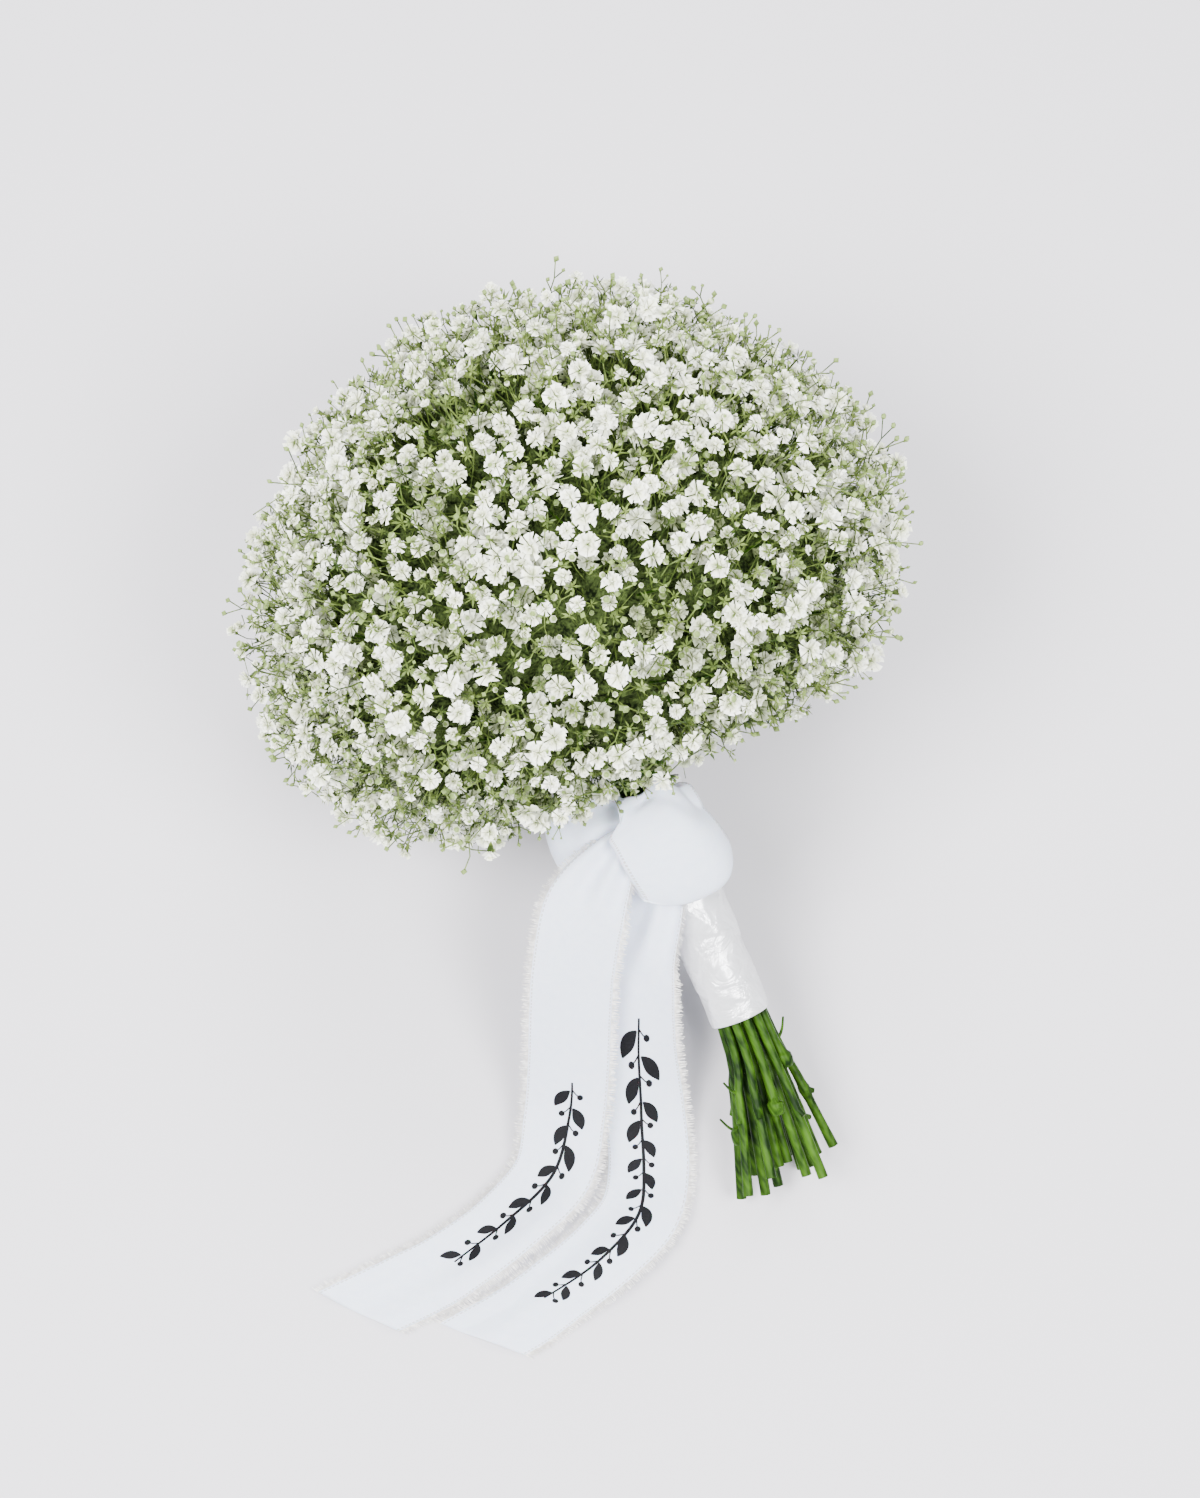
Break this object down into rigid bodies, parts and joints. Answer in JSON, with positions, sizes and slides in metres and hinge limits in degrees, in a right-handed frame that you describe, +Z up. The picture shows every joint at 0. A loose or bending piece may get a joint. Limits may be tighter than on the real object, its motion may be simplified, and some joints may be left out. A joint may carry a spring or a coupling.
{
  "type": "bridal bouquet",
  "caption": "Rounded bouquet of small white double flowers lying on its side, with green cut stems, a satin-wrapped handle and a ribbon bow with long tails.",
  "frame": {"origin": "the middle of the bottom of the bounding box, on the table that the bouquet lies on", "axes": "+Z up from the table, +Y from the cut ends towards the flower head, +X to the right as seen from above with the head away from the viewer"},
  "size_m": [0.3794, 0.4098, 0.2724],
  "materials": {
    "stem": "fresh green, waxy",
    "petal": "matte, slightly translucent",
    "floral_tape": "matte crepe paper",
    "satin": "glossy satin",
    "chiffon": "matte sheer chiffon"
  },
  "bodies": {
    "root": {"stem_01": "stem", "stem_02": "stem", "stem_03": "stem", "stem_04": "stem", "stem_05": "stem", "stem_06": "stem", "stem_07": "stem", "stem_08": "stem", "stem_09": "stem", "stem_10": "stem", "stem_11": "stem", "stem_12": "stem", "stem_13": "stem", "stem_14": "stem", "stem_15": "stem", "stem_16": "stem", "stem_17": "stem", "stem_18": "stem", "stem_19": "stem", "florets_01": "petal", "florets_02": "petal", "florets_03": "petal", "florets_04": "petal", "florets_05": "petal", "florets_06": "petal", "florets_07": "petal", "florets_08": "petal", "florets_09": "petal", "florets_10": "petal", "florets_11": "petal", "florets_12": "petal", "florets_13": "petal", "florets_14": "petal", "florets_15": "petal", "florets_16": "petal", "florets_17": "petal", "florets_18": "petal", "florets_19": "petal", "binding_tape": "floral_tape", "satin_wrap": "satin", "ribbon_tie": "chiffon", "bow_loop_front": "chiffon", "bow_loop_side": "chiffon", "ribbon_tail_outer": "chiffon", "ribbon_tail_inner": "chiffon"}
  },
  "joints": []
}
